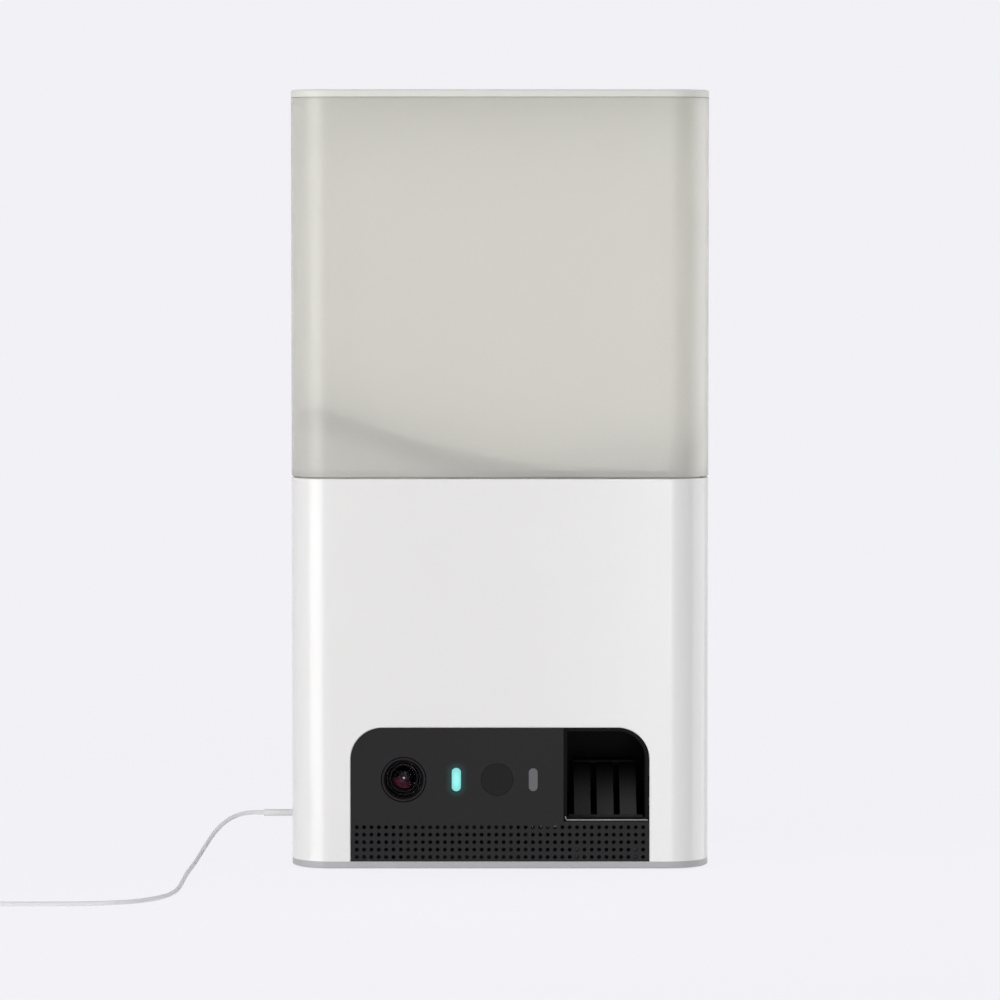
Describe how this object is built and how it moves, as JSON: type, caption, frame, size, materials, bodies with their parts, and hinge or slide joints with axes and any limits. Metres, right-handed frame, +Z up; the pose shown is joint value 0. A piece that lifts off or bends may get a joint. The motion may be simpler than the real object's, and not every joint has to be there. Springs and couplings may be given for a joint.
{
  "type": "treat tossing pet camera",
  "caption": "Upright pet camera with a lift-off treat container, a portion wheel and a spring-driven paddle that tosses treats out of a front chute.",
  "frame": {"origin": "on the floor, under the middle of the body", "axes": "+Z up; -Y is the front with the lens and the chute; +X is to the right seen from the front"},
  "size_m": [0.2839, 0.1632, 0.27],
  "materials": {
    "white_gloss": "glossy white moulded shell",
    "grey_plastic": "satin grey moulding",
    "rubber": "matt rubber",
    "steel": "plain steel",
    "black_plastic": "satin black moulding",
    "dark_plastic": "satin dark grey moulding",
    "speaker_paper": "coated paper cone",
    "dark_glass": "coated dark lens",
    "circuit_board": "green solder mask",
    "cyan_light": "lit clear light pipe",
    "grey_light": "unlit clear light pipe",
    "ir_glass": "dark infrared filter",
    "chip_metal": "tinned shield and black chips",
    "white_acetal": "natural acetal",
    "motor_steel": "drawn steel can",
    "brass": "cut brass",
    "white_plastic": "satin white moulding",
    "vane_plastic": "soft light grey moulding",
    "frosted_plastic": "frosted translucent moulding",
    "lid_plastic": "satin pale grey moulding",
    "silicone": "translucent silicone",
    "cord_jacket": "pale grey vinyl",
    "tie_fabric": "woven hook tape",
    "plug_steel": "nickel plated steel"
  },
  "bodies": {
    "housing": {"base_sleeve": "white_gloss", "base_plate": "grey_plastic", "rubber_feet": "rubber", "base_screws": "steel", "face_panel": "black_plastic", "speaker_grille": "black_plastic", "speaker_frame": "dark_plastic", "speaker_cone": "speaker_paper", "lens_ring": "dark_plastic", "lens_glass": "dark_glass", "camera_barrel": "dark_plastic", "sensor_board": "circuit_board", "status_light_pipe": "cyan_light", "second_light_pipe": "grey_light", "ir_window": "ir_glass", "light_board": "circuit_board", "main_board": "circuit_board", "board_parts": "chip_metal", "board_screws": "steel", "launch_chute": "black_plastic", "winder_pin": "steel", "throw_motor": "motor_steel", "gear_cover": "dark_plastic", "cover_screws": "steel", "dock_deck": "white_plastic", "drum_shell": "white_plastic", "drum_front_plate": "white_plastic", "drum_back_plate": "white_plastic", "portion_motor": "motor_steel", "drop_funnel": "white_plastic", "strain_relief": "cord_jacket", "cord_lead": "cord_jacket", "cord_coil": "cord_jacket", "coil_tie": "tie_fabric", "usb_plug_grip": "cord_jacket", "usb_plug_shell": "plug_steel"},
    "container": {"treat_container": "frosted_plastic", "hopper_ramp": "frosted_plastic"},
    "lid": {"container_lid": "lid_plastic", "lid_seal": "silicone"},
    "portion_wheel": {"portion_rotor": "vane_plastic", "rotor_shaft": "steel", "rotor_gear": "white_acetal"},
    "portion_drive": {"portion_pinion": "brass"},
    "paddle": {"launch_paddle": "dark_plastic", "paddle_shaft": "steel", "paddle_gear": "white_acetal", "spring_collar": "white_acetal", "throw_spring": "steel"},
    "winder": {"winder_gear": "white_acetal"},
    "throw_drive": {"throw_pinion": "brass"}
  },
  "joints": [
    {"name": "container_lift", "type": "slide", "parent": "housing", "child": "container", "axis": [0, 0, 1], "range_m": [0, 0.06]},
    {"name": "lid_lift", "type": "slide", "parent": "container", "child": "lid", "axis": [0, 0, 1], "range_m": [0, 0.06]},
    {"name": "rotor_spin", "type": "hinge", "parent": "housing", "child": "portion_wheel", "pos_m": [0.044, 0, 0.1116], "axis": [0, 1, 0], "continuous": true},
    {"name": "portion_drive_spin", "type": "hinge", "parent": "housing", "child": "portion_drive", "pos_m": [0.01988, 0, 0.1116], "axis": [0, 1, 0], "continuous": true},
    {"name": "paddle_swing", "type": "hinge", "parent": "housing", "child": "paddle", "pos_m": [0, -0.025, 0.014], "axis": [1, 0, 0], "range_deg": [-20, 50], "deforming": ["throw_spring"]},
    {"name": "winder_turn", "type": "hinge", "parent": "housing", "child": "winder", "pos_m": [0, -0.0055, 0.02526], "axis": [1, 0, 0], "range_deg": [-20.5, 8.5]},
    {"name": "throw_drive_turn", "type": "hinge", "parent": "housing", "child": "throw_drive", "pos_m": [0, 0.01321, 0.03463], "axis": [1, 0, 0], "range_deg": [-27, 67]}
  ],
  "couplings": [
    {"joint": "portion_drive_spin", "follows": "rotor_spin", "ratio": -2},
    {"joint": "winder_turn", "follows": "paddle_swing", "ratio": -0.4},
    {"joint": "throw_drive_turn", "follows": "paddle_swing", "ratio": 1.3333}
  ]
}
